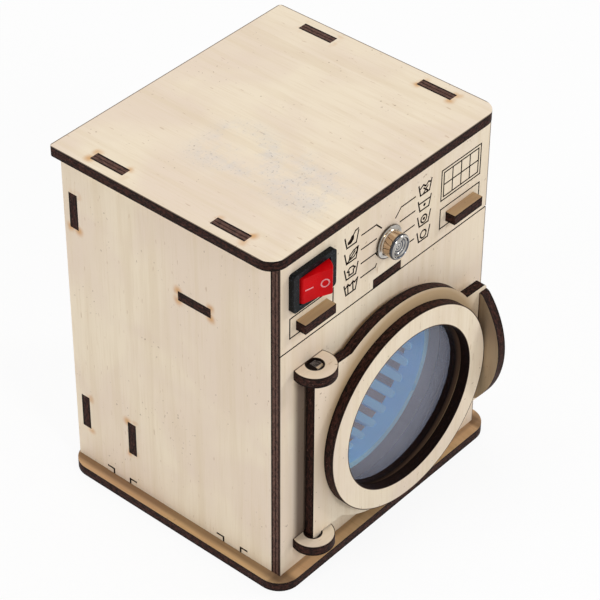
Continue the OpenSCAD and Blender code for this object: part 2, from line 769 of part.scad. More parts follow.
// Door plate: disc with a hinge flange on the left and the handle's flange on the right
module door_plate() {
    pin_len = lug_gap + ply - pin_short;
    color([0.86, 0.80, 0.72])
    door_pose()
    difference() {
        union() {
            intersection() {
                rod_y([0, door_face, door_z], ply, door_r);
                block([-hinge_x - flange_edge, door_face - over, door_z - door_r - over],
                      [door_r + over, door_back + over, door_z + door_r + over]);
            }
            block([-hinge_x - flange_edge, door_face, flange_bottom],
                  [-flange_in, door_back, flange_top]);
            block([flange_in, door_face, grip_z - grip_h / 2],
                  [grip_x + ply - grip_r, door_back, grip_z + grip_h / 2]);
            block([flange_in, door_face, grip_z - grip_h / 2 + grip_r],
                  [grip_x + ply, door_back, grip_z + grip_h / 2 - grip_r]);
            for (s = [-1, 1])
                rod_y([grip_x + ply - grip_r, door_face, grip_z + s * (grip_h / 2 - grip_r)],
                      ply, grip_r);
            door_pin(flange_top, pin_len);
            door_pin(flange_bottom - pin_len, pin_len);
        }
        rod_y([0, door_face - over, door_z], ply + 2 * over, window_hole_r);
        for (s = [-1, 1]) handle_tab_block(s, tab_gap, over);
    }
}

// Ring glued to the front of the door plate, around the window
module door_ring() {
    color([0.90, 0.84, 0.76])
    door_pose()
    difference() {
        rod_y([ring_x, door_face - ply, door_z - ring_drop], ply, ring_r);
        rod_y([ring_x, door_face - ply - over, door_z - ring_drop], ply + 2 * over, ring_hole_r);
    }
}

// Window pane, flush with the back of the door plate
module door_window() {
    color([0.65, 0.68, 0.72, 0.5])
    door_pose()
    rod_y([0, door_back - window_t, door_z], window_t, window_hole_r - window_gap);
}

// Handle: upright half-moon plate at the door's right edge, held by two tabs
module door_handle() {
    end_z = handle_h / 2 - handle_end_r;
    end_y = sqrt(pow(handle_arc - handle_end_r, 2) - pow(end_z, 2)) - handle_arc + handle_out;
    join_z = end_z * handle_arc / (handle_arc - handle_end_r);
    color([0.62, 0.54, 0.42])
    door_pose()
    union() {
        intersection() {
            rod_x([grip_x, door_face - handle_out + handle_arc, grip_z], ply, handle_arc);
            block([grip_x - over, door_face - handle_out - over, grip_z - join_z],
                  [grip_x + ply + over, door_face, grip_z + join_z]);
        }
        for (s = [-1, 1])
            intersection() {
                rod_x([grip_x, door_face - end_y, grip_z + s * end_z], ply, handle_end_r);
                block([grip_x - over, door_face - handle_out, grip_z - handle_h],
                      [grip_x + ply + over, door_face, grip_z + handle_h]);
            }
        for (s = [-1, 1]) handle_tab_block(s, 0, 0);
    }
}

// Rocker switch: rim in front of the panel and a box behind it, hollow for the rocker
module switch_housing() {
    pin_hole = opening_h + 2 * pivot_len;
    color([0.09, 0.10, 0.11])
    translate([-switch_x, front_y, switch_z])
    difference() {
        union() {
            block([-rim_w / 2 + rim_r, -rim_t, -rim_h / 2], [rim_w / 2 - rim_r, 0, rim_h / 2]);
            block([-rim_w / 2, -rim_t, -rim_h / 2 + rim_r], [rim_w / 2, 0, rim_h / 2 - rim_r]);
            for (sx = [-1, 1], sz = [-1, 1])
                rod_y([sx * (rim_w / 2 - rim_r), -rim_t, sz * (rim_h / 2 - rim_r)], rim_t, rim_r);
            block([-housing_w / 2, -over, -housing_h / 2], [housing_w / 2, housing_d, housing_h / 2]);
        }
        block([-opening_w / 2, -rim_t - over, -opening_h / 2],
              [opening_w / 2, hollow_d, opening_h / 2]);
        rod_z([0, 0, -pin_hole / 2], pin_hole, pivot_r + shaft_play);
    }
}

// Places something on one of the rocker's two finger faces
module on_finger_face(s) {
    translate([0, -rocker_front, 0]) rotate([0, 0, -s * rocker_slope]) children();
}

// Red rocker: round ends, two sloping finger faces with sunk marks, and its pivot pins
module switch_rocker() {
    pins = rocker_h + rocker_gap + 2 * pivot_len;
    color([0.78, 0.08, 0.08])
    translate([-switch_x, front_y, switch_z])
    rotate([0, 0, -rocker_tilt])
    union() {
        difference() {
            intersection() {
                rod_z([0, 0, -rocker_h / 2], rocker_h, rocker_r);
                block([-rocker_r, -rocker_r, -rocker_h], [rocker_r, rocker_front, rocker_h]);
            }
            for (s = [-1, 1]) on_finger_face(s)
                block([s > 0 ? 0 : -2 * rocker_r, -rocker_r, -rocker_h],
                      [s > 0 ? 2 * rocker_r : 0, 0, rocker_h]);
            on_finger_face(1)
                difference() {
                    rod_y([mark_x, -over, 0], mark_d + over, mark_r);
                    rod_y([mark_x, -2 * over, 0], mark_d + 3 * over, mark_r - mark_w);
                }
            on_finger_face(-1)
                block([-mark_x - mark_r, -over, -mark_w / 2], [-mark_x + mark_r, mark_d, mark_w / 2]);
        }
        rod_z([0, 0, -pins / 2], pins, pivot_r);
    }
}

// The switch's two solder blades
module switch_blades() {
    color([0.78, 0.66, 0.38])
    for (s = [-1, 1])
        translate([-switch_x + s * blade_x, blade_y + blade_len / 2, switch_z])
            cube([blade_t, blade_len, blade_h], center = true);
}

// Chrome programme knob, turned in one piece with its spindle
module knob() {
    bevel = 0.5;
    dish_r = knob_r - 0.8;
    dish_d = 0.9;
    flange = knob_gap + knob_flange_t;
    spindle = ply + knob_gap + collar_t;
    color([0.80, 0.81, 0.83])
    translate([0, front_y, knob_z])
    rotate([90, 0, 0])
    rotate_extrude()
        polygon([[0, -spindle], [spindle_r, -spindle], [spindle_r, knob_gap], [knob_flange_r, knob_gap],
                 [knob_flange_r, flange], [knob_r, flange], [knob_r, knob_out - bevel],
                 [knob_r - bevel, knob_out], [dish_r, knob_out], [dish_r - bevel, knob_out - dish_d],
                 [0, knob_out - dish_d]]);
}

// Collar pressed on the spindle behind the panel
module knob_collar() {
    color([0.70, 0.71, 0.73])
    difference() {
        rod_y([0, panel_back + knob_gap, knob_z], collar_t, collar_r);
        rod_y([0, panel_back, knob_z], collar_t + 2 * knob_gap + over, spindle_r + press_gap);
    }
}

// One lengthwise rib inside the drum, with a round end towards the mouth
module drum_rib() {
    top = drum_r - drum_rim - drum_wall - rib_out;
    start = drum_y + slot_back - rib_ahead + rib_w / 2;
    rod_z([0, start, top], rib_out + drum_wall / 2, rib_w / 2);
    block([-rib_w / 2, start, top], [rib_w / 2, drum_end - drum_wall / 2, top + rib_out + drum_wall / 2]);
}

// Drum: blue plastic basket with slots and ribs by turns and a raised rim at its mouth
module drum() {
    color([0.43, 0.59, 0.80])
    difference() {
        union() {
            difference() {
                union() {
                    rod_y([0, drum_y, door_z], drum_d, drum_r - drum_rim);
                    rod_y([0, drum_y, door_z], 2 * drum_rim, drum_r);
                }
                rod_y([0, drum_y - over, door_z], drum_d - drum_wall + over,
                      drum_r - drum_rim - drum_wall);
            }
            for (i = [0 : slot_count - 1])
                translate([0, 0, door_z]) rotate([0, i * 360 / slot_count, 0]) drum_rib();
        }
        for (i = [0 : slot_count - 1])
            translate([0, drum_y + slot_back, door_z]) rotate([0, (i + 0.5) * 360 / slot_count, 0])
                translate([-slot_w / 2, 0, drum_r - 3 * drum_wall]) cube([slot_w, slot_len, 4 * drum_wall]);
        rod_y([0, drum_end - drum_wall - over, door_z], drum_wall + 2 * over, shaft_r + press_gap);
    }
}

// Hub glued behind the drum's floor and pressed on the motor's shaft
module drum_hub() {
    color([0.88, 0.89, 0.90])
    difference() {
        rod_y([0, drum_end, door_z], hub_len, hub_r);
        rod_y([0, drum_end - over, door_z], hub_len + 2 * over, shaft_r + press_gap);
    }
}

// Motor shaft, from the drum's floor to the end cap's bearing
module motor_shaft() {
    start = drum_end - drum_wall;
    color([0.75, 0.76, 0.78])
    rod_y([0, start, door_z], cap_y + shaft_in - start, shaft_r);
}

// Rotor with three poles, and the commutator behind it
module motor_rotor() {
    color([0.62, 0.36, 0.20])
    difference() {
        union() {
            difference() {
                rod_y([0, rotor_y, door_z], rotor_len, rotor_r);
                for (i = [0 : 2])
                    translate([0, rotor_y - over, door_z]) rotate([0, i * 120, 0])
                        translate([-pole_gap / 2, 0, rotor_core])
                            cube([pole_gap, rotor_len + 2 * over, rotor_r]);
            }
            rod_y([0, rotor_y + rotor_len - over, door_z], commutator_len + over, commutator_r);
        }
        rod_y([0, rotor_y - over, door_z], rotor_len + commutator_len + 2 * over, shaft_r + press_gap);
    }
}

// Motor can: drawn steel cup with two flats and a bearing boss in front
module motor_can() {
    color([0.72, 0.73, 0.74])
    difference() {
        union() {
            motor_outline(motor_y, can_len, 0);
            rod_y([0, motor_y - boss_len, door_z], boss_len + over, boss_r);
        }
        motor_outline(motor_y + can_t, can_len, -can_t);
        rod_y([0, motor_y - boss_len - over, door_z], boss_len + can_t + 2 * over, shaft_r + shaft_play);
    }
}

// Plastic end cap with the rear bearing
module motor_cap() {
    color([0.93, 0.92, 0.88])
    difference() {
        motor_outline(cap_y, cap_len, 0);
        rod_y([0, cap_y - over, door_z], shaft_in + 2 * over, shaft_r + shaft_play);
    }
}

// Two magnets against the can's round sides
module motor_magnets() {
    outer = motor_dia / 2 - can_t - tab_gap;
    color([0.22, 0.22, 0.23])
    for (s = [-1, 1])
        intersection() {
            difference() {
                rod_y([0, magnet_y, door_z], magnet_len, outer);
                rod_y([0, magnet_y - over, door_z], magnet_len + 2 * over, outer - magnet_t);
            }
            translate([s * outer, magnet_y + magnet_len / 2, door_z])
                cube([outer, 2 * magnet_len, outer], center = true);
        }
}

// The motor's two solder tags on the end cap's upper flat
module motor_tags() {
    color([0.78, 0.66, 0.38])
    for (s = [-1, 1])
        translate([s * motor_tag_x, motor_tag_y, motor_top + tag_w / 2])
            cube([tag_w, tag_t, tag_w], center = true);
}

// Battery holder: open tray for two cells side by side
module battery_holder() {
    color([0.12, 0.12, 0.13])
    difference() {
        union() {
            difference() {
                translate([0, holder_mid, shelf_z + holder_h / 2])
                    cube([holder_l, holder_w, holder_h], center = true);
                translate([0, holder_mid, shelf_z + holder_t + holder_h / 2])
                    cube([holder_l - 2 * holder_t, holder_w - 2 * holder_t, holder_h], center = true);
            }
            translate([0, holder_mid, shelf_z + holder_t + rib_h / 2 - over / 2])
                cube([rib_l, holder_t / 2, rib_h + over], center = true);
        }
        for (s = [-1, 1])
            rod_z([s * screw_x, holder_mid, shelf_z - over], holder_t + 2 * over, screw_r + tab_gap);
        for (s = [-1, 1]) tag_slot(s);
    }
}

// Slot in the holder's left end wall for one battery's solder tag
module tag_slot(s) {
    translate([-holder_l / 2, holder_mid + s * cell_y, wire_z])
        cube([2 * holder_t + 2 * over, tag_t + 2 * tab_gap, tag_w + 2 * tab_gap], center = true);
}

// A battery; side is -1 in front, with its pip to the right, and 1 behind, with it to the left
module battery(side) {
    translate([0, holder_mid + side * cell_y, cell_z])
    mirror([side > 0 ? 1 : 0, 0, 0]) {
        rod_x([cell_x, 0, 0], cell_len, cell_dia / 2);
        rod_x([cell_x + cell_len - over, 0, 0], pip_len + over, pip_r);
    }
}
module front_battery() color([0.20, 0.42, 0.26]) battery(-1);
module rear_battery() color([0.20, 0.42, 0.26]) battery(1);

// Bent leaf spring on the left end contact, pressing on the flat end of the front battery
module leaf_spring() {
    foot = spring_w / 2;
    translate([-contact_x, 0, cell_z - spring_w / 2])
        linear_extrude(spring_w)
            polygon([[0, -foot], [spring_room, -tag_t], [spring_room, tag_t], [0, foot],
                     [0, foot - 2 * tag_t], [spring_room - tag_t, 0], [0, 2 * tag_t - foot]]);
}

// Sheet brass contacts: two with solder tags on the left and a bridge on the right
module battery_contacts() {
    low = cell_z - spring_w / 2;
    high = wire_z + tag_w / 2;
    plate = spring_w / 2 + tag_t;
    color([0.78, 0.66, 0.38])
    translate([0, holder_mid, 0]) {
        for (s = [-1, 1])
            translate([0, s * cell_y, 0]) {
                block([-contact_x - tag_t, -plate, low], [-contact_x, plate, high]);
                block([-holder_l / 2 - tag_out, -tag_t / 2, wire_z - tag_w / 2],
                      [-contact_x, tag_t / 2, high]);
            }
        translate([0, -cell_y, 0]) leaf_spring();
        block([contact_x, -cell_y - plate, low], [contact_x + tag_t, cell_y + plate, cell_z + spring_w / 2]);
        translate([0, cell_y, 0]) mirror([1, 0, 0]) leaf_spring();
    }
}

// Two pan-head screws that hold the battery holder on the shelf
module holder_screws() {
    end = shelf_low - nut_h - over;
    color([0.70, 0.71, 0.73])
    for (s = [-1, 1]) {
        rod_z([s * screw_x, holder_mid, end], shelf_z + holder_t + over - end, screw_r);
        rod_z([s * screw_x, holder_mid, shelf_z + holder_t], head_h, head_r);
    }
}

// Their nuts under the shelf
module holder_nuts() {
    color([0.70, 0.71, 0.73])
    for (s = [-1, 1])
        difference() {
            translate([s * screw_x, holder_mid, shelf_low - nut_h]) cylinder(h = nut_h, r = nut_r, $fn = 6);
            rod_z([s * screw_x, holder_mid, shelf_low - nut_h - over], nut_h + 2 * over, screw_r + press_gap);
        }
}

// A stiff wire laid in straight runs with round corners
module wire(points) {
    for (i = [0 : len(points) - 2])
        let (d = points[i + 1] - points[i])
            translate(points[i]) rotate([0, acos(d[2] / norm(d)), atan2(d[1], d[0])])
                cylinder(h = norm(d), r = wire_r);
    for (i = [1 : len(points) - 2]) translate(points[i]) sphere(r = wire_r);
}

// Red wire from the front battery's tag to the switch
module wire_battery_to_switch() {
    color([0.75, 0.12, 0.10])
    wire([[-switch_x - blade_x, blade_y + blade_len, wire_z], [wire_tag_x, wire_hole_y, wire_z],
          [wire_tag_x, holder_mid - cell_y - tag_t / 2, wire_z]]);
}

// Red wire from the switch down through the shelf and over the motor plate to the motor
module wire_switch_to_motor() {
    x = -switch_x + blade_x;
    color([0.75, 0.12, 0.10])
    wire([[x, blade_y + blade_len, wire_z], [x, wire_hole_y, wire_z], [x, wire_hole_y, wire_low_z],
          [x, motor_tag_y, wire_low_z], [-motor_tag_x, motor_tag_y, wire_low_z],
          [-motor_tag_x, motor_tag_y, motor_top + tag_w]]);
}

// Black wire from the rear battery's tag behind the shelf down to the motor
module wire_battery_to_motor() {
    color([0.10, 0.10, 0.11])
    wire([[wire_tag_x, holder_mid + cell_y + tag_t / 2, wire_z], [wire_tag_x, motor_tag_y, wire_z],
          [wire_tag_x, motor_tag_y, wire_high_z], [motor_tag_x, motor_tag_y, wire_high_z],
          [motor_tag_x, motor_tag_y, motor_top + tag_w]]);
}

base_plate();
top_plate();
left_side_panel();
right_side_panel();
front_panel();
back_panel();
motor_plate();
shelf();
left_drawer_pull();
right_drawer_pull();
upper_hinge_lug();
lower_hinge_lug();
door_plate();
door_ring();
door_window();
door_handle();
switch_housing();
switch_rocker();
switch_blades();
knob();
knob_collar();
drum();
drum_hub();
motor_shaft();
motor_rotor();
motor_can();
motor_cap();
motor_magnets();
motor_tags();
battery_holder();
front_battery();
rear_battery();
battery_contacts();
holder_screws();
holder_nuts();
wire_battery_to_switch();
wire_switch_to_motor();
wire_battery_to_motor();
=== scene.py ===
from math import cos, pi, radians, sin

import bmesh
import bpy
from mathutils import Matrix, Vector


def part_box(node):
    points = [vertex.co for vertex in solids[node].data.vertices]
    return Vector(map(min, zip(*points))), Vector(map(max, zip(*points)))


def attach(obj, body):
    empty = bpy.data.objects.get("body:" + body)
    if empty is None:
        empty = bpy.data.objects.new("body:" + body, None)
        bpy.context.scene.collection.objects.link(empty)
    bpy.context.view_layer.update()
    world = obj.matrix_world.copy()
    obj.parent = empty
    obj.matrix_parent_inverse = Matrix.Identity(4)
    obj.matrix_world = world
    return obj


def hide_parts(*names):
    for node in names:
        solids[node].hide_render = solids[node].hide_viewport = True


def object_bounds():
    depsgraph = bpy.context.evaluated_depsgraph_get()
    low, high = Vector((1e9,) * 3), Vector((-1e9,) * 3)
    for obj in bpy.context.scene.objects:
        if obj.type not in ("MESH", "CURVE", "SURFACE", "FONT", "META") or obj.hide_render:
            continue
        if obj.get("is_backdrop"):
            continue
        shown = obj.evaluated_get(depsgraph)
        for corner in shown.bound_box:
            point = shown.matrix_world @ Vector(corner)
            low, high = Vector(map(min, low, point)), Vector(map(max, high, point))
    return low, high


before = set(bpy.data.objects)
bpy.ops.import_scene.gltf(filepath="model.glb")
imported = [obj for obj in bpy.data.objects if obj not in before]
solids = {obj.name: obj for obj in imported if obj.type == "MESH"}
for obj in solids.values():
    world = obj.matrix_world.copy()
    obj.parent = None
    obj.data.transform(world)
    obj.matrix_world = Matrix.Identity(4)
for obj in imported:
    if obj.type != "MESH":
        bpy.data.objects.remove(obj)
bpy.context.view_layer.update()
MM = 0.001

# ---------------------------------------------------------------------------------------------
# Cabinet. Flat plates of thin birch plywood, cut by laser and pushed together with tabs in
# slots. The faces are pale rotary-cut veneer; every cut edge is charred dark brown, and the
# control panel's lines are burnt into the front plate.
# ---------------------------------------------------------------------------------------------
PLY = 2.7 * MM
FRONT_Y = -34 * MM
X, Y, Z = range(3)


def ink(red, green, blue):
    """A colour as seen, given in 0 to 255, as the linear colour the shader takes."""
    return tuple(
        c / 12.92 if c <= 0.04045 else ((c + 0.055) / 1.055) ** 2.4
        for c in (red / 255, green / 255, blue / 255)
    ) + (1.0,)


class Finish:
    """A procedural material, with short ways of adding shader nodes to it."""

    def __init__(self, name, **shader):
        self.material = bpy.data.materials.new(name)
        self.material.use_nodes = True
        self.tree = self.material.node_tree
        self.shader = self.tree.nodes["Principled BSDF"]
        for socket, value in shader.items():
            self.shader.inputs[socket.replace("_", " ")].default_value = value
        where = self.tree.nodes.new("ShaderNodeTexCoord")
        self.place, self.facing = where.outputs["Object"], where.outputs["Normal"]

    def put(self, socket, value):
        if isinstance(value, bpy.types.NodeSocket):
            self.tree.links.new(value, socket)
        else:
            socket.default_value = value

    def math(self, operation, a, b=0.0, c=0.0):
        made = self.tree.nodes.new("ShaderNodeMath")
        made.operation = operation
        for socket, value in zip(made.inputs, (a, b, c)):
            self.put(socket, value)
        return made.outputs[0]

    def times(self, a, b):
        return self.math("MULTIPLY", a, b)

    def minus(self, a, b):
        return self.math("SUBTRACT", a, b)

    def positive(self, value):
        return self.math("ABSOLUTE", value)

    def vector(self, operation, a, b=(0, 0, 0)):
        made = self.tree.nodes.new("ShaderNodeVectorMath")
        made.operation = operation
        self.put(made.inputs[0], a)
        self.put(made.inputs[1], b)
        return made.outputs["Value" if operation == "LENGTH" else "Vector"]

    def mapped(self, where, scale=(1, 1, 1), turn=(0, 0, 0), shift=(0, 0, 0)):
        made = self.tree.nodes.new("ShaderNodeMapping")
        self.put(made.inputs["Vector"], where)
        made.inputs["Scale"].default_value = scale
        made.inputs["Rotation"].default_value = turn
        made.inputs["Location"].default_value = shift
        return made.outputs[0]

    def noise(self, where, scale, detail=3.0, rough=0.5, bend=0.0):
        made = self.tree.nodes.new("ShaderNodeTexNoise")
        self.put(made.inputs["Vector"], where)
        made.inputs["Scale"].default_value = scale
        made.inputs["Detail"].default_value = detail
        made.inputs["Roughness"].default_value = rough
        made.inputs["Distortion"].default_value = bend
        return made.outputs["Fac"]

    def span(self, value, low, high, start=0.0, end=1.0):
        """Runs smoothly from start to end while the value goes from low to high."""
        made = self.tree.nodes.new("ShaderNodeMapRange")
        made.interpolation_type = "SMOOTHSTEP"
        for socket, given in zip(made.inputs, (value, low, high, start, end)):
            self.put(socket, given)
        return made.outputs[0]

    def mix(self, share, a, b):
        made = self.tree.nodes.new("ShaderNodeMix")
        made.data_type = "RGBA"
        self.put(made.inputs[0], share)
        self.put(made.inputs[6], a)
        self.put(made.inputs[7], b)
        return made.outputs[2]

    def split(self, where):
        made = self.tree.nodes.new("ShaderNodeSeparateXYZ")
        self.put(made.inputs[0], where)
        return made.outputs

    def colour(self, value):
        self.put(self.shader.inputs["Base Color"], value)

    def roughness(self, value):
        self.put(self.shader.inputs["Roughness"], value)

    def relief(self, height, depth, strength):
        made = self.tree.nodes.new("ShaderNodeBump")
        made.inputs["Strength"].default_value = strength
        made.inputs["Distance"].default_value = depth
        self.put(made.inputs["Height"], height)
        self.put(self.shader.inputs["Normal"], made.outputs[0])


# Each veneer has its ground colour, its darker grain and a rosy tint in clouds.
PALE_VENEER = (ink(242, 227, 203), ink(227, 208, 179), ink(235, 217, 197))
# The drawer pulls' tan veneer is the pale veneer darkened, as painted shade.
SHADED_PULL_VENEER = (ink(192, 162, 122), ink(166, 134, 98), ink(182, 150, 118))
PEACH_VENEER = (ink(207, 172, 128), ink(180, 143, 100), ink(200, 162, 124))
# The handle's veneer is the pale veneer darkened, as painted shade on its side face.
SHADED_HANDLE_VENEER = (ink(190, 168, 136), ink(160, 136, 106), ink(174, 150, 124))
# Char black and scorch brown; both also serve as painted shade, in hole walls, round the door's window, at
# the feet of the walls, beside the hinge and on the handle.
CHAR_AND_SHADE_BLACK, SCORCH_AND_SHADE_BROWN, SINGED = ink(20, 10, 7), ink(74, 48, 34), ink(205, 143, 62)


def bare_veneer(ply, place, fine, along, grain, veneer):
    """The clean veneer: fine and broad grain, open pores, and a few specks in groups."""
    light, deep, rosy = veneer
    broad = ply.noise(ply.mapped(place, scale=along), 320, 3, 0.55, 0.6)
    clouds = ply.noise(place, 42, 2, 0.5, 0.4)
    short = list(along)
    short[grain] = 0.22
    pores = ply.noise(ply.mapped(place, scale=short), 1500, 1, 0.4)
    face = ply.mix(ply.span(clouds, 0.35, 0.65), light, rosy)
    face = ply.mix(ply.span(broad, 0.42, 0.72, 0.0, 0.5), face, deep)
    face = ply.mix(ply.span(fine, 0.48, 0.75, 0.0, 0.45), face, deep)
    face = ply.mix(ply.span(pores, 0.71, 0.78, 0.0, 0.35), face, ink(176, 138, 98))
    specks = ply.times(ply.span(ply.noise(place, 1100, 1, 0.4), 0.70, 0.76),
                       ply.span(ply.noise(place, 90, 2), 0.50, 0.62))
    return ply.mix(ply.times(specks, 0.55), face, ink(150, 122, 92))


def charred_edge(ply, place, height, across, layered):
    """The cut edge: charred at the faces, browner in its core, with worn arrises and scuffs."""
    through = [1.0, 1.0, 1.0]
    through[across] = 2.2
    mottle = ply.noise(ply.mapped(place, scale=through), 900, 4, 0.75)
    core = ply.minus(0.5, ply.positive(ply.minus(height, 0.5)))
    brown = ply.times(ply.span(core, 0.06, 0.26), ply.span(mottle, 0.40, 0.62))
    edge = ply.mix(brown, CHAR_AND_SHADE_BLACK, ink(68, 39, 32))
    if layered:
        plies = ply.times(ply.span(core, 0.14, 0.22), ply.span(core, 0.40, 0.46, 1.0, 0.0))
        plies = ply.times(plies, ply.span(mottle, 0.35, 0.60, 0.3, 0.9))
        edge = ply.mix(plies, edge, ink(108, 81, 71))
    worn = ply.times(ply.span(core, 0.02, 0.08, 1.0, 0.0), ply.span(mottle, 0.60, 0.68))
    edge = ply.mix(ply.times(worn, 0.7), edge, ink(168, 140, 112))
    scuffs = ply.noise(ply.mapped(place, scale=through, shift=(0.3, 0.1, 0.2)), 1700, 2, 0.6)
    return ply.mix(ply.span(scuffs, 0.64, 0.74, 0.0, 0.55), edge, ink(142, 108, 98)), mottle


def pin_ends(ply, place, fine, edge):
    """The ends of the hinge pins: split end grain, with one paler ply at the front."""
    x, y, _ = ply.split(ply.vector("SUBTRACT", place, HINGE))
    upright = ply.positive(ply.split(ply.facing)[Z])
    on_end = ply.times(ply.math("LESS_THAN", x, 2 * MM), ply.math("GREATER_THAN", upright, 0.75))
    whole = ply.math("GREATER_THAN", x, -0.4 * MM)
    end_grain = ply.mix(ply.span(fine, 0.4, 0.6), ink(34, 30, 30), ink(112, 104, 100))
    end = ply.mix(ply.math("LESS_THAN", y, -0.65 * MM), end_grain, ink(196, 176, 150))
    return ply.mix(on_end, edge, ply.mix(whole, CHAR_AND_SHADE_BLACK, end))


def plywood(name, across, low, grain, veneer=PALE_VENEER, slots=(), burnt_lines=False, door=False,
            holes=(), straight=(), smudges=(), stain=None, layered=False, pins=False):
    """Laser-cut plywood. across is the plate's thin axis, low its lower face there, grain the
    axis of the grain, slots the (middle, half size) of cuts with singed corners, holes the
    (middle, radius, width, colour) of round holes with a darker ring on the face, charred or
    scorched at some and painted shade round the door's window, where a width below nought is a
    round outline and a width above nought also paints the hole's cut wall darker as shade,
    straight the (axis, place, width, share) of straight darker lines, scorch beside some cut edges,
    painted shade at the feet of the walls and on the handle and a dark line where the handle meets
    the door, and the soft-edged patches, as (middle, half size, width, share, colour), are painted
    shade; stain is the middle, half size and width of a bluish cloud in the veneer. A layered plate
    shows paler plies in its cut edges. Where it has hinge pins, their ends show split end grain."""
    ply = Finish(name, Specular_IOR_Level=0.1)
    place = ply.place
    if door:
        place = ply.mapped(place, turn=(0, 0, AJAR), shift=HINGE - TURN @ HINGE)
    depth = ply.minus(ply.split(place)[across], low)
    lean = ply.positive(ply.split(ply.facing)[across])
    is_face = ply.math("GREATER_THAN", lean, 0.75)
    along = [1.0, 1.0, 1.0]
    along[grain] = 0.045
    fine = ply.noise(ply.mapped(place, scale=along), 1900, 4, 0.6)
    face = bare_veneer(ply, place, fine, along, grain, veneer)

    flat = Vector([0.0 if axis == across else 1.0 for axis in range(3)])
    in_plane = ply.vector("MULTIPLY", place, flat)

    def from_middle(middle):
        return ply.vector("SUBTRACT", in_plane, Vector(middle) * flat)

    def past_half(middle, half):
        return ply.vector("SUBTRACT", ply.vector("ABSOLUTE", from_middle(middle)), Vector(half) * flat)

    def soft_patch(middle, half, width, share):
        outside = ply.vector("MAXIMUM", past_half(middle, half), Vector())
        return ply.span(ply.vector("LENGTH", outside), 0.0, width, share, 0.0)

    # Soft-edged patches of painted shade, such as the shadow beside the hinge and the ring's shade on the
    # door.
    for *patch, tint in smudges:
        face = ply.mix(soft_patch(*patch), face, tint)
    smoke = ply.span(ply.noise(place, 150, 2), 0.46, 0.62, 0.0, 0.7)
    for middle, half in slots:
        near = ply.span(ply.vector("LENGTH", past_half(middle, half)), 0.1 * MM, 2.2 * MM, 1.0, 0.0)
        face = ply.mix(ply.times(near, smoke), face, SINGED)
    shaded_hole_walls = []
    # A darker ring on the face round each hole: char or scorch at some, painted shade round the door's
    # window.
    for middle, radius, width, rim_tint in holes:
        away = ply.vector("LENGTH", from_middle(middle))
        ring = ply.span(away, radius + 0.6 * width, radius + width, 1.0, 0.0)
        if width > 0:
            shaded_hole_walls.append(ply.math("LESS_THAN", away, radius + 0.2 * MM))
        face = ply.mix(ring, face, ply.mix(ply.span(away, radius, radius + 0.5 * width), CHAR_AND_SHADE_BLACK, rim_tint))
    # Straight darker lines: scorch beside some cut edges, painted shade at the feet of the walls and on
    # the handle.
    for axis, start, width, share in straight:
        inside = ply.positive(ply.minus(ply.split(place)[axis], start))
        face = ply.mix(ply.span(inside, 0.4 * width, width, share, 0.0), face, SCORCH_AND_SHADE_BROWN)
    if stain:
        cloud = ply.span(ply.noise(place, 85, 5, 0.7), 0.38, 0.68)
        cloud = ply.times(cloud, soft_patch(*stain, 1.0))
        dots = ply.span(ply.noise(place, 1500, 1, 0.4), 0.64, 0.70, 0.0, 0.7)
        face = ply.mix(ply.times(cloud, 0.5), face, ink(206, 205, 211))
        face = ply.mix(ply.times(cloud, dots), face, ink(132, 126, 128))
    if burnt_lines:
        burnt = ply.times(ply.math("GREATER_THAN", depth, 0.08 * MM), ply.math("LESS_THAN", depth, 1 * MM))
        face = ply.mix(burnt, face, ply.mix(fine, ink(16, 9, 6), ink(52, 35, 26)))

    edge, mottle = charred_edge(ply, place, ply.math("DIVIDE", depth, PLY), across, layered)
    # The cut walls inside holes with a ring are painted darker, as shade.
    for rim in shaded_hole_walls:
        edge = ply.mix(ply.times(rim, 0.8), edge, CHAR_AND_SHADE_BLACK)
    if pins:
        edge = pin_ends(ply, place, fine, edge)

    ply.colour(ply.mix(is_face, edge, face))
    ply.roughness(ply.math("ADD", ply.span(fine, 0.3, 0.7, 0.58, 0.74), ply.times(is_face, -0.05)))
    rough_edge = ply.times(ply.minus(1.0, is_face), mottle)
    ply.relief(ply.math("ADD", ply.times(fine, 0.35), rough_edge), 0.12 * MM, 0.5)
    return ply.material


def dress(node, material):
    """Gives a solid its finish."""
    if not solids[node].material_slots:
        solids[node].data.materials.append(material)
    for held in solids[node].material_slots:
        held.material = material


def middle_of(node):
    """The middle of a solid's box."""
    low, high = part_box(node)
    return (low + high) / 2


def plate(node, name, across, grain, veneer=PALE_VENEER, **marks):
    """Gives a plate of the cabinet its plywood; the marks are those that plywood takes."""
    dress(node, plywood(name, across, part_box(node)[0][across], grain, veneer, **marks))


DRUM_Z = 36.4 * MM
HINGE = Vector((-28.2 * MM, -36.1 * MM, 0))
BODY_SIDES = (-38 * MM, 38 * MM)
SIDE_TABS_Y = (-18.4 * MM, 19.0 * MM)
BACK_TABS_Z = (18.4 * MM, 81.4 * MM)
TAB_HALF, SLOT_HALF = 5.15 * MM, 1.4 * MM
SMOKE_LINE = (0.35 * MM, 0.85)

side_panels_x = [middle_of(node).x for node in ("left_side_panel", "right_side_panel")]
top_slots = [((x, y, 0), (SLOT_HALF, TAB_HALF, 0)) for x in side_panels_x for y in SIDE_TABS_Y]
side_slots = [((0, middle_of("back_panel").y, z), (0, SLOT_HALF, TAB_HALF)) for z in BACK_TABS_Z]
side_slots += [((0, middle_of("motor_plate").y, BACK_TABS_Z[0]), (0, SLOT_HALF, TAB_HALF)),
               ((0, -7.8 * MM, middle_of("shelf").z), (0, TAB_HALF, SLOT_HALF))]

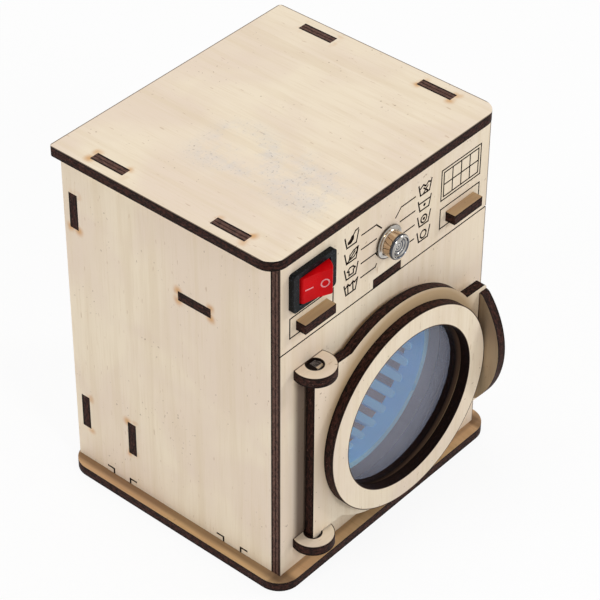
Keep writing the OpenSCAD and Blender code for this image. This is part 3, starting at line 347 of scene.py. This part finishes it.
# Painted shade on the base along the feet of the side and front walls.
shade_at_wall_feet = [(X, BODY_SIDES[0], 2.8 * MM, 0.6), (X, BODY_SIDES[1], 2.2 * MM, 0.5),
             (Y, FRONT_Y, 1.8 * MM, 0.35)]
plate("base_plate", "Plywood_base", Z, Y, PEACH_VENEER, slots=top_slots, straight=shade_at_wall_feet)
top_sides = [(axis, corner[axis], *SMOKE_LINE) for axis in (X, Y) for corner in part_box("top_plate")]
blue_cloud = ((-13 * MM, -10 * MM, 0), (4 * MM, 15 * MM, 0), 10 * MM)
plate("top_plate", "Plywood_top", Z, Y, slots=top_slots, straight=top_sides, stain=blue_cloud)
plate("left_side_panel", "Plywood_left_side", X, Z, slots=side_slots, layered=True)
plate("right_side_panel", "Plywood_right_side", X, Z, slots=side_slots, layered=True)
panel_sides = [(X, x, *SMOKE_LINE) for x in BODY_SIDES]
# A darker grey ring on the face round the mouth; the mouth's cut wall is painted darker, as shade.
panel_mouth = (((0, 0, DRUM_Z), 25.6 * MM, 2 * MM, ink(102, 92, 88)),)
# A painted shadow on the front panel beside the door's hinge edge.
painted_hinge_shadow = (((-29 * MM, 0, 36 * MM), (2.2 * MM, 0, 25 * MM), 2.6 * MM, 0.8, SCORCH_AND_SHADE_BROWN),)
plate("front_panel", "Plywood_front", Y, Z, burnt_lines=True, holes=panel_mouth, straight=panel_sides,
      smudges=painted_hinge_shadow, layered=True)
plate("back_panel", "Plywood_back", Y, Z)
plate("motor_plate", "Plywood_motor_plate", Y, X)
plate("shelf", "Plywood_shelf", Z, X)
# The drawer pulls take the darker tan veneer, painted shade.
pulls = plywood("Plywood_drawer_pulls", Z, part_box("left_drawer_pull")[0].z, X, SHADED_PULL_VENEER)
dress("left_drawer_pull", pulls)
dress("right_drawer_pull", pulls)
lug_rims = ((HINGE, 2 * MM, 0.45 * MM, CHAR_AND_SHADE_BLACK), (HINGE, 5.4 * MM, -0.25 * MM, SCORCH_AND_SHADE_BROWN))
at_panel = ((Y, FRONT_Y, *SMOKE_LINE),)
for level in ("upper", "lower"):
    plate(level + "_hinge_lug", "Plywood_" + level + "_lug", Z, X, holes=lug_rims, straight=at_panel)

# ---------------------------------------------------------------------------------------------
# Door. A plywood disc with a ring glued on its front, a half-moon handle tabbed into its right
# edge, and a hazy plastic pane held flush with its back. Two pins of the disc's own sheet turn
# in the hinge lugs; the door stands two degrees ajar.
# ---------------------------------------------------------------------------------------------
AJAR = radians(2)
TURN = Matrix.Rotation(AJAR, 3, "Z")
DOOR_Y = -37.45 * MM
HANDLE_X = 30 * MM

ring_middle = Vector((1.9 * MM, 0, 35.1 * MM))
# Painted shade: a dark brown ring on the door's face round the window, and a darker cut wall.
window_hole_shade = (((0, 0, DRUM_Z), 22 * MM, 3.2 * MM, ink(72, 54, 42)),)
# Painted shade: a tan band on the door plate round the ring, strongest above it.
painted_ring_shade = ((ring_middle + Vector((0, 0, 4.2 * MM)), (0, 0, 0), 34 * MM, 8.0, ink(190, 162, 126)),)
dress("door_plate", plywood("Plywood_door", Y, DOOR_Y, Z, door=True, holes=window_hole_shade,
                            smudges=painted_ring_shade, pins=True))
ring_outlines = ((ring_middle, 28 * MM, -0.3 * MM, SCORCH_AND_SHADE_BROWN), (ring_middle, 22.3 * MM, 0.3 * MM, SCORCH_AND_SHADE_BROWN))
dress("door_ring", plywood("Plywood_door_ring", Y, DOOR_Y - PLY, Z, door=True, holes=ring_outlines))
# On the handle: painted shade, darker round its upper part, and a dark line where it meets the door plate.
handle_shade_and_joint = ((Z, 54 * MM, 22 * MM, 0.3), (Y, DOOR_Y, 0.5 * MM, 0.8))
dress("door_handle", plywood("Plywood_handle", X, HANDLE_X, Z, SHADED_HANDLE_VENEER, door=True,
                             straight=handle_shade_and_joint))

pane = Finish("Hazy_pane", Alpha=0.145, Specular_IOR_Level=0.1)
haze = pane.noise(pane.place, 60, 2, 0.5)
pane.colour(pane.mix(haze, ink(227, 230, 253), ink(232, 235, 255)))
pane.roughness(pane.span(pane.noise(pane.place, 300, 2), 0.3, 0.7, 0.40, 0.44))
dress("door_window", pane.material)

# ---------------------------------------------------------------------------------------------
# Rocker switch. A snap-in power switch: black satin plastic rim and box, a red rocker with its
# marks printed in the sunk ring and bar, and two brass solder blades behind.
# ---------------------------------------------------------------------------------------------
SWITCH = Vector((-27.7 * MM, FRONT_Y, 88.9 * MM))


def moulded(name, base, dark, gloss=(0.32, 0.45), grit=0.03, dust=None, **shader):
    """Moulded plastic: faint clouds of a darker colour, a grain that is grit mm deep, a slightly
    uneven sheen between the two values of gloss and, where its colour is given, specks of dust."""
    plastic = Finish(name, **shader)
    clouds = plastic.noise(plastic.place, 160, 3)
    grain = plastic.noise(plastic.place, 5200, 2, 0.6)
    shade = plastic.mix(plastic.span(clouds, 0.3, 0.7), base, dark)
    if dust:
        dusty = plastic.span(plastic.noise(plastic.place, 2400, 2, 0.6), 0.58, 0.72)
        shade = plastic.mix(dusty, shade, dust)
    plastic.colour(shade)
    uneven = plastic.math("ADD", plastic.times(grain, 0.5), plastic.times(clouds, 0.5))
    plastic.roughness(plastic.span(uneven, 0.35, 0.65, *gloss))
    plastic.relief(grain, grit * MM, 0.5)
    return plastic.material


def solid_copy(*names):
    """A bmesh of these solids with their doubled corners and flat facets merged."""
    bm = bmesh.new()
    for name in names:
        bm.from_mesh(solids[name].data)
    bmesh.ops.remove_doubles(bm, verts=bm.verts, dist=0.001 * MM)
    bmesh.ops.dissolve_limit(bm, angle_limit=radians(0.4), verts=bm.verts, edges=bm.edges)
    return bm


def rounded(bm, edges, width, segments):
    """Rounds these edges."""
    bmesh.ops.bevel(bm, geom=edges, offset=width, offset_type="OFFSET", affect="EDGES",
                    segments=segments, profile=0.5, material=-1, clamp_overlap=True)


def soften(bm, width, segments=3, sharper_than=40):
    """Rounds the edges that are sharper than an angle in degrees."""
    sharp = [e for e in bm.edges if len(e.link_faces) == 2
             and e.calc_face_angle() > radians(sharper_than)]
    rounded(bm, sharp, width, segments)


def piece(name, bm, finish, body, slot, *stands_for):
    """Turns a bmesh into a smooth-shaded piece that rides on a body and stands for solids."""
    mesh = bpy.data.meshes.new(name)
    bm.to_mesh(mesh)
    bm.free()
    mesh.polygons.foreach_set("use_smooth", [True] * len(mesh.polygons))
    mesh.set_sharp_from_angle(angle=radians(38))
    for material in finish if isinstance(finish, tuple) else (finish,):
        mesh.materials.append(material)
    made = bpy.data.objects.new(name, mesh)
    bpy.context.scene.collection.objects.link(made)
    made.modifiers.new("Even shading", "WEIGHTED_NORMAL").keep_sharp = True
    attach(made, body)
    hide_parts(*stands_for)


black_plastic = moulded("Black_switch_plastic", ink(16, 19, 22), ink(8, 10, 12), (0.34, 0.5), 0.08,
                        ink(62, 70, 78), Specular_IOR_Level=0.1)
housing = solid_copy("switch_housing")
soften(housing, 0.25 * MM)
piece("switch_rim_and_box", housing, black_plastic, "cabinet", "switch_black", "switch_housing")

red_plastic = moulded("Red_rocker_plastic", ink(212, 8, 16), ink(190, 4, 12), (0.26, 0.38), 0.02,
                      Specular_IOR_Level=0.06)
white_print = moulded("Pale_printed_mark", ink(238, 176, 178), ink(222, 150, 154), (0.4, 0.55))
rocker = solid_copy("switch_rocker")
TIPPED, FACE_LEAN = radians(18), radians(6)
FACE_OUT = 2.9 * MM
MARK_X, MARK_HALF = 2.1 * MM, 1.25 * MM
HALF_HEIGHT, ROUND_RADIUS = 3.55 * MM, 5.1 * MM


def in_a_mark(face):
    """Whether this small face is the floor of the sunk bar or ring on either half of the rocker."""
    place = Matrix.Rotation(TIPPED, 3, "Z") @ (face.calc_center_median() - SWITCH)
    for side in (-1, 1):
        on_half = Matrix.Rotation(side * FACE_LEAN, 3, "Z") @ (place + Vector((0, FACE_OUT, 0)))
        sunk = 0.01 * MM < on_half.y < 0.2 * MM
        near = abs(on_half.z) < MARK_HALF and abs(abs(on_half.x) - MARK_X) < MARK_HALF
        if side * on_half.x > 0 and sunk and near and face.calc_area() < 6 * MM ** 2:
            return True
    return False


def on_round_end(corner):
    """Whether this corner is on the arris of the rocker's round upper or lower end."""
    place = corner.co - SWITCH
    return (abs(abs(place.z) - HALF_HEIGHT) < 0.01 * MM
            and abs(place.xy.length - ROUND_RADIUS) < 0.02 * MM)


for face in rocker.faces:
    if in_a_mark(face):
        face.material_index = 1
rounded(rocker, [e for e in rocker.edges if all(on_round_end(v) for v in e.verts)], 0.8 * MM, 5)
soften(rocker, 0.12 * MM, 2, 30)
piece("red_rocker", rocker, (red_plastic, white_print), "rocker", "switch_red", "switch_rocker")


def metal(name, base, dark, gloss, brushed=None):
    """Bare metal: faint darker stains, and fine lines along one axis where it is brushed."""
    bare = Finish(name, Metallic=1.0)
    lines = [1.0, 1.0, 1.0]
    if brushed is not None:
        lines[brushed] = 0.03
    brush = bare.noise(bare.mapped(bare.place, scale=lines), 3200, 3, 0.6)
    stains = bare.noise(bare.place, 240, 3)
    bare.colour(bare.mix(bare.span(stains, 0.38, 0.68), base, dark))
    bare.roughness(bare.span(brush, 0.3, 0.7, *gloss))
    bare.relief(brush, 0.02 * MM, 0.35)
    return bare.material


brass = metal("Brass_sheet", ink(214, 178, 104), ink(184, 144, 78), (0.22, 0.38), Y)
blades = solid_copy("switch_blades")
soften(blades, 0.15 * MM, 2)
piece("brass_switch_blades", blades, brass, "cabinet", "contact_brass", "switch_blades")

# ---------------------------------------------------------------------------------------------
# Programme knob. Turned in one piece with its spindle and chrome plated: a thin flange against
# the panel, a round body and a dished front. A pressed collar holds it behind the panel.
# ---------------------------------------------------------------------------------------------
KNOB = Vector((0, FRONT_Y, 83.5 * MM))
FORWARDS = Matrix.Rotation(radians(90), 4, "X")
KNOB_RADIUS, FLANGE_RADIUS = 3.3 * MM, 4.3 * MM
KNOB_FRONT_Y = FRONT_Y - 3.05 * MM
RING_PITCH = 0.62 * MM


def turned(profile, place, direction=FORWARDS, steps=96):
    """A turned body: the profile's (distance, radius) in mm run along the given direction."""
    bm = bmesh.new()
    corners = [bm.verts.new((radius * MM, 0, along * MM)) for along, radius in profile]
    lines = [bm.edges.new(pair) for pair in zip(corners, corners[1:])]
    bmesh.ops.spin(bm, geom=corners + lines, cent=(0, 0, 0), axis=(0, 0, 1), dvec=(0, 0, 0),
                   angle=2 * pi, steps=steps, use_merge=True, use_duplicate=False)
    bmesh.ops.remove_doubles(bm, verts=bm.verts, dist=0.0005 * MM)
    bmesh.ops.recalc_face_normals(bm, faces=bm.faces)
    bmesh.ops.transform(bm, matrix=Matrix.Translation(place) @ direction, verts=bm.verts)
    return bm


chrome = Finish("Polished_chrome", Metallic=1.0)
off_axis = chrome.vector("MULTIPLY", chrome.vector("SUBTRACT", chrome.place, KNOB), (1, 0, 1))
out = chrome.vector("LENGTH", off_axis)
stains = chrome.noise(chrome.place, 500, 3)
plated = chrome.mix(chrome.span(stains, 0.35, 0.65), ink(196, 192, 186), ink(158, 152, 144))
on_front = chrome.math("LESS_THAN", chrome.split(chrome.place)[Y], KNOB_FRONT_Y)
on_body = chrome.minus(chrome.math("COMPARE", out, KNOB_RADIUS, 0.06 * MM), on_front)
# Painted reflections: warm wood-coloured streaks round the body, dark rings over the dished front and a
# dark grey flange rim.
reflection_streaks = chrome.noise(chrome.mapped(chrome.place, scale=(1, 0.2, 1)), 900, 3)
wood_reflection_tint = chrome.mix(chrome.span(reflection_streaks, 0.42, 0.6), ink(232, 216, 192), ink(188, 164, 138))
plated = chrome.mix(chrome.span(on_body, 0.2, 0.8), plated, wood_reflection_tint)
ripple = chrome.math("SINE", chrome.times(out, 2 * pi / RING_PITCH))
dark_ring_reflections = chrome.times(on_front, chrome.span(ripple, 0.1, 0.7))
plated = chrome.mix(dark_ring_reflections, plated, ink(84, 88, 96))
plated = chrome.mix(chrome.math("GREATER_THAN", out, FLANGE_RADIUS), plated, ink(92, 86, 80))
chrome.colour(plated)
chrome.roughness(chrome.span(stains, 0.3, 0.7, 0.04, 0.12))
knob = turned([(-4.2, 0), (-4.2, 1.35), (-4.05, 1.5), (0.1, 1.5), (0.1, 4.25), (0.2, 4.4), (0.55, 4.4),
               (0.7, 4.25), (0.75, 3.9), (0.8, 3.45), (0.95, 3.3), (3.45, 3.3), (3.7, 3.22), (3.9, 3.05),
               (4.0, 2.85), (3.98, 2.7), (3.8, 2.55), (3.5, 2.45), (3.42, 2.3), (3.52, 2.12), (3.4, 1.95),
               (3.26, 1.82), (3.36, 1.64), (3.24, 1.46), (3.14, 1.3), (3.24, 1.1), (3.12, 0.9),
               (3.1, 0.7), (3.18, 0.45), (3.12, 0.2), (3.1, 0)], KNOB)
piece("chrome_knob", knob, chrome.material, "knob_unit", "knob_chrome", "knob")
collar = solid_copy("knob_collar")
soften(collar, 0.2 * MM)
steel = metal("Bright_steel", ink(196, 198, 202), ink(160, 162, 168), (0.22, 0.36))
piece("steel_knob_collar", collar, steel, "knob_unit", "steel", "knob_collar")

# ---------------------------------------------------------------------------------------------
# Drum. A sky-blue moulded basket with lengthwise slots and, between them on the inside, low
# round-ended ribs that reach a little further towards the mouth. A white hub behind its floor
# is pressed on the motor's shaft.
# ---------------------------------------------------------------------------------------------
sky_plastic = moulded("Sky_blue_plastic", ink(97, 205, 255), ink(83, 194, 255), (0.30, 0.44), 0.03,
                      Subsurface_Weight=0.2, Subsurface_Radius=(0.001, 0.002, 0.003))
# The ribs and the rim of the mouth take paler blues as painted highlights.
rib_highlight_blue = moulded("Rib_painted_highlight", ink(156, 230, 255), ink(142, 224, 255), (0.28, 0.42))
mouth_highlight_blue = moulded("Mouth_painted_highlight", ink(166, 232, 255), ink(150, 226, 255), (0.24, 0.36))
drum = solid_copy("drum")
soften(drum, 0.24 * MM, 3, 50)
MOUTH_Y, MOUTH_RADIUS = -28.1 * MM, 23.42 * MM
RIB_INSIDE, RIB_OUTSIDE = 22.5 * MM, 23.13 * MM
# Faces of the mouth's rim and of the ribs get the painted highlight blues.
for face in drum.faces:
    centre = face.calc_center_median()
    from_axis = Vector((centre.x, centre.z - DRUM_Z)).length
    if centre.y < MOUTH_Y and from_axis < MOUTH_RADIUS:
        face.material_index = 2
    elif RIB_INSIDE < from_axis < RIB_OUTSIDE and abs(face.normal.y) < 0.95:
        face.material_index = 1
piece("blue_drum_basket", drum, (sky_plastic, rib_highlight_blue, mouth_highlight_blue), "drum_unit", "drum_blue", "drum")

white_plastic = moulded("White_plastic", ink(232, 233, 231), ink(216, 217, 214))
hub = solid_copy("drum_hub")
soften(hub, 0.4 * MM)
piece("white_drum_hub", hub, white_plastic, "drum_unit", "hub_white", "drum_hub")

# ---------------------------------------------------------------------------------------------
# Motor. A small flat-sided direct-current motor: drawn steel can gripped by the motor plate,
# white end cap with two brass tags, and inside it two magnets, the wound rotor and its shaft.
# ---------------------------------------------------------------------------------------------
drawn_steel = metal("Drawn_steel", ink(188, 190, 192), ink(150, 152, 156), (0.26, 0.42), Y)
cap_plastic = moulded("Motor_cap_plastic", ink(233, 229, 216), ink(220, 215, 200))
ferrite = moulded("Ferrite", ink(58, 57, 60), ink(44, 43, 46), (0.55, 0.75), 0.1)
copper = metal("Enamelled_copper", ink(186, 98, 54), ink(148, 70, 36), (0.3, 0.5), Y)
ground_steel = metal("Ground_steel", ink(206, 208, 212), ink(176, 178, 184), (0.12, 0.22), Y)
for node, name, material, body, slot, width in (
    ("motor_can", "steel_motor_can", drawn_steel, "cabinet", "motor_steel", 0.5),
    ("motor_cap", "white_motor_cap", cap_plastic, "cabinet", "motor_white", 0.3),
    ("motor_magnets", "dark_magnets", ferrite, "cabinet", "magnet", 0.15),
    ("motor_tags", "brass_motor_tags", brass, "cabinet", "contact_brass", 0.1),
    ("motor_rotor", "copper_wound_rotor", copper, "drum_unit", "rotor_copper", 0.25),
    ("motor_shaft", "steel_motor_shaft", ground_steel, "drum_unit", "steel", 0.15),
):
    part = solid_copy(node)
    soften(part, width * MM)
    piece(name, part, material, body, slot, node)

# ---------------------------------------------------------------------------------------------
# Power. A black moulded tray screwed on the shelf holds two cells side by side; bent brass
# contacts press on their ends, and stiff insulated wires run to the switch and the motor.
# ---------------------------------------------------------------------------------------------
holder = solid_copy("battery_holder")
soften(holder, 0.25 * MM)
tray_plastic = moulded("Black_tray_plastic", ink(34, 35, 38), ink(24, 25, 28), (0.38, 0.55), 0.06)
piece("black_battery_tray", holder, tray_plastic, "cabinet", "holder_black", "battery_holder")

sleeve = Finish("Green_cell_sleeve", Coat_Weight=0.6, Coat_Roughness=0.12)
from_middle = sleeve.positive(sleeve.split(sleeve.place)[X])
clouds = sleeve.noise(sleeve.place, 260, 2)
green = sleeve.mix(clouds, ink(46, 122, 66), ink(34, 102, 54))
for band_at, band_colour in ((10.5 * MM, ink(226, 190, 60)), (13.5 * MM, ink(30, 34, 32))):
    band = sleeve.math("COMPARE", from_middle, band_at, 1.0 * MM)
    green = sleeve.mix(band, green, band_colour)
sleeve.colour(green)
sleeve.roughness(sleeve.span(sleeve.noise(sleeve.place, 1200, 3), 0.3, 0.7, 0.24, 0.4))
sleeve.relief(clouds, 0.03 * MM, 0.3)
cell_steel = metal("Cell_end_steel", ink(208, 209, 212), ink(178, 180, 184), (0.18, 0.32))
SHOULDER, CAP_RADIUS = 48.9 * MM, 6.2 * MM
for node, name, towards in (("front_battery", "front_cell", 1), ("rear_battery", "rear_cell", -1)):
    middle = middle_of(node)
    low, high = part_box(node)
    start = Vector((low.x if towards > 0 else high.x, middle.y, middle.z))
    cell = turned([(0.15, 0), (0.15, 5.0), (0, 5.2), (0, 6.2), (0.2, 6.7), (0.6, 7.0), (1.0, 7.1),
                   (48.2, 7.1), (48.6, 7.0), (48.95, 6.7), (49.1, 6.2), (49.2, 5.9), (49.0, 5.6),
                   (49.0, 2.9), (49.15, 2.65), (50.0, 2.6), (50.25, 2.4), (50.3, 2.1), (50.3, 0)],
                  start, Matrix.Rotation(towards * radians(90), 4, "Y"), 72)
    for face in cell.faces:
        centre = face.calc_center_median()
        along = abs(centre.x - start.x)
        on_flat_end = along < 0.3 * MM and (centre - start).yz.length < CAP_RADIUS
        if along < 0.1 * MM or along > SHOULDER or on_flat_end:
            face.material_index = 1
    piece(name, cell, (sleeve.material, cell_steel), "cabinet", "battery_green", node)

for node, name, material, slot, width in (
    ("battery_contacts", "brass_battery_contacts", brass, "contact_brass", 0.08),
    ("holder_screws", "steel_tray_screws", steel, "steel", 0.3),
    ("holder_nuts", "steel_tray_nuts", steel, "steel", 0.25),
):
    part = solid_copy(node)
    soften(part, width * MM, 2)
    piece(name, part, material, "cabinet", slot, node)

RED, BLACK = (ink(196, 34, 30), ink(170, 24, 22)), (ink(34, 34, 37), ink(24, 24, 26))
for node, name, colours, slot in (
    ("wire_battery_to_switch", "red_wire_to_switch", RED, "wire_red"),
    ("wire_switch_to_motor", "red_wire_to_motor", RED, "wire_red"),
    ("wire_battery_to_motor", "black_wire_to_motor", BLACK, "wire_black"),
):
    insulation = moulded("Insulation_of_" + name, *colours, (0.35, 0.5))
    piece(name, solid_copy(node), insulation, "cabinet", slot, node)

# ---------------------------------------------------------------------------------------------
# Studio. A white floor that keeps the soft shadow, four large soft lamps on the right, in front,
# above and on the left, and a camera that looks down on the front left corner.
# ---------------------------------------------------------------------------------------------
scene = bpy.context.scene
scene.view_settings.view_transform = "Standard"


def lamp(name, place, size, watts):
    data = bpy.data.lights.new(name, "AREA")
    data.shape, data.size, data.energy = "DISK", size, watts
    made = bpy.data.objects.new(name, data)
    scene.collection.objects.link(made)
    made.location = place
    made.rotation_euler = (Vector((0, 0, 0.04)) - Vector(place)).to_track_quat("-Z", "Y").to_euler()


lamp("Key lamp", (0.95, -0.70, 0.70), 0.28, 4.6)
lamp("Front lamp", (-0.25, -0.90, 0.75), 0.25, 3.1)
lamp("Top lamp", (0.05, 0.25, 1.2), 0.6, 4.0)
lamp("Side lamp", (-1.0, 0.35, 0.55), 0.5, 3.6)


def background_ray(tree):
    """One where the camera, a gloss or a clear body looks at the background, otherwise nought."""
    path = tree.nodes.new("ShaderNodeLightPath")
    found = path.outputs["Is Camera Ray"]
    for kind in ("Is Glossy Ray", "Is Transmission Ray"):
        either = tree.nodes.new("ShaderNodeMath")
        either.operation = "MAXIMUM"
        tree.links.new(found, either.inputs[0])
        tree.links.new(path.outputs[kind], either.inputs[1])
        found = either.outputs[0]
    return found


world = bpy.data.worlds.new("Studio")
scene.world = world
world.use_nodes = True
tree = world.node_tree
sky = tree.nodes["Background"]
seen = tree.nodes.new("ShaderNodeBackground")
choose = tree.nodes.new("ShaderNodeMixShader")
sky.inputs["Color"].default_value = (1.0, 1.0, 1.0, 1.0)
sky.inputs["Strength"].default_value = 0.32
seen.inputs["Color"].default_value = (1.0, 1.0, 1.0, 1.0)
seen.inputs["Strength"].default_value = 1.0
tree.links.new(background_ray(tree), choose.inputs[0])
tree.links.new(sky.outputs[0], choose.inputs[1])
tree.links.new(seen.outputs[0], choose.inputs[2])
tree.links.new(choose.outputs[0], tree.nodes["World Output"].inputs["Surface"])

floor_bm = bmesh.new()
bmesh.ops.create_grid(floor_bm, x_segments=1, y_segments=1, size=4)
floor_mesh = bpy.data.meshes.new("Floor")
floor_bm.to_mesh(floor_mesh)
floor_bm.free()
floor = bpy.data.objects.new("Floor", floor_mesh)
scene.collection.objects.link(floor)
floor.location.z = -0.05 * MM
white_floor = Finish("White_floor", Roughness=0.9, Specular_IOR_Level=0.1)
cloudy = white_floor.noise(white_floor.place, 3)
white_floor.colour(white_floor.mix(cloudy, (0.90, 0.90, 0.90, 1), (0.93, 0.93, 0.93, 1)))
floor_tree = white_floor.tree
white = floor_tree.nodes.new("ShaderNodeEmission")
lit = floor_tree.nodes.new("ShaderNodeMixShader")
white_floor.put(lit.inputs[0], white_floor.times(background_ray(floor_tree), 0.9))
white_floor.put(lit.inputs[1], white_floor.shader.outputs[0])
white_floor.put(lit.inputs[2], white.outputs[0])
white_floor.put(floor_tree.nodes["Material Output"].inputs["Surface"], lit.outputs[0])
floor_mesh.materials.append(white_floor.material)
floor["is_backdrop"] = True

CAMERA_PLACE = (-0.3595, -0.31593, 0.43481)
azimuth, down, roll = radians(49.35), radians(38.96), radians(0.38)
look = Vector((sin(azimuth) * cos(down), cos(azimuth) * cos(down), -sin(down)))
sideways = Vector((cos(azimuth), -sin(azimuth), 0))
upwards = sideways.cross(look)
right = cos(roll) * sideways + sin(roll) * upwards
up = cos(roll) * upwards - sin(roll) * sideways
camera_data = bpy.data.cameras.new("Camera")
camera_data.lens, camera_data.sensor_width = 149.3, 36.0
camera_data.clip_start = 0.05
camera = bpy.data.objects.new("Camera", camera_data)
scene.collection.objects.link(camera)
facing = Matrix((right, up, -look)).transposed().to_4x4()
camera.matrix_world = Matrix.Translation(CAMERA_PLACE) @ facing
scene.camera = camera

low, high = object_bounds()
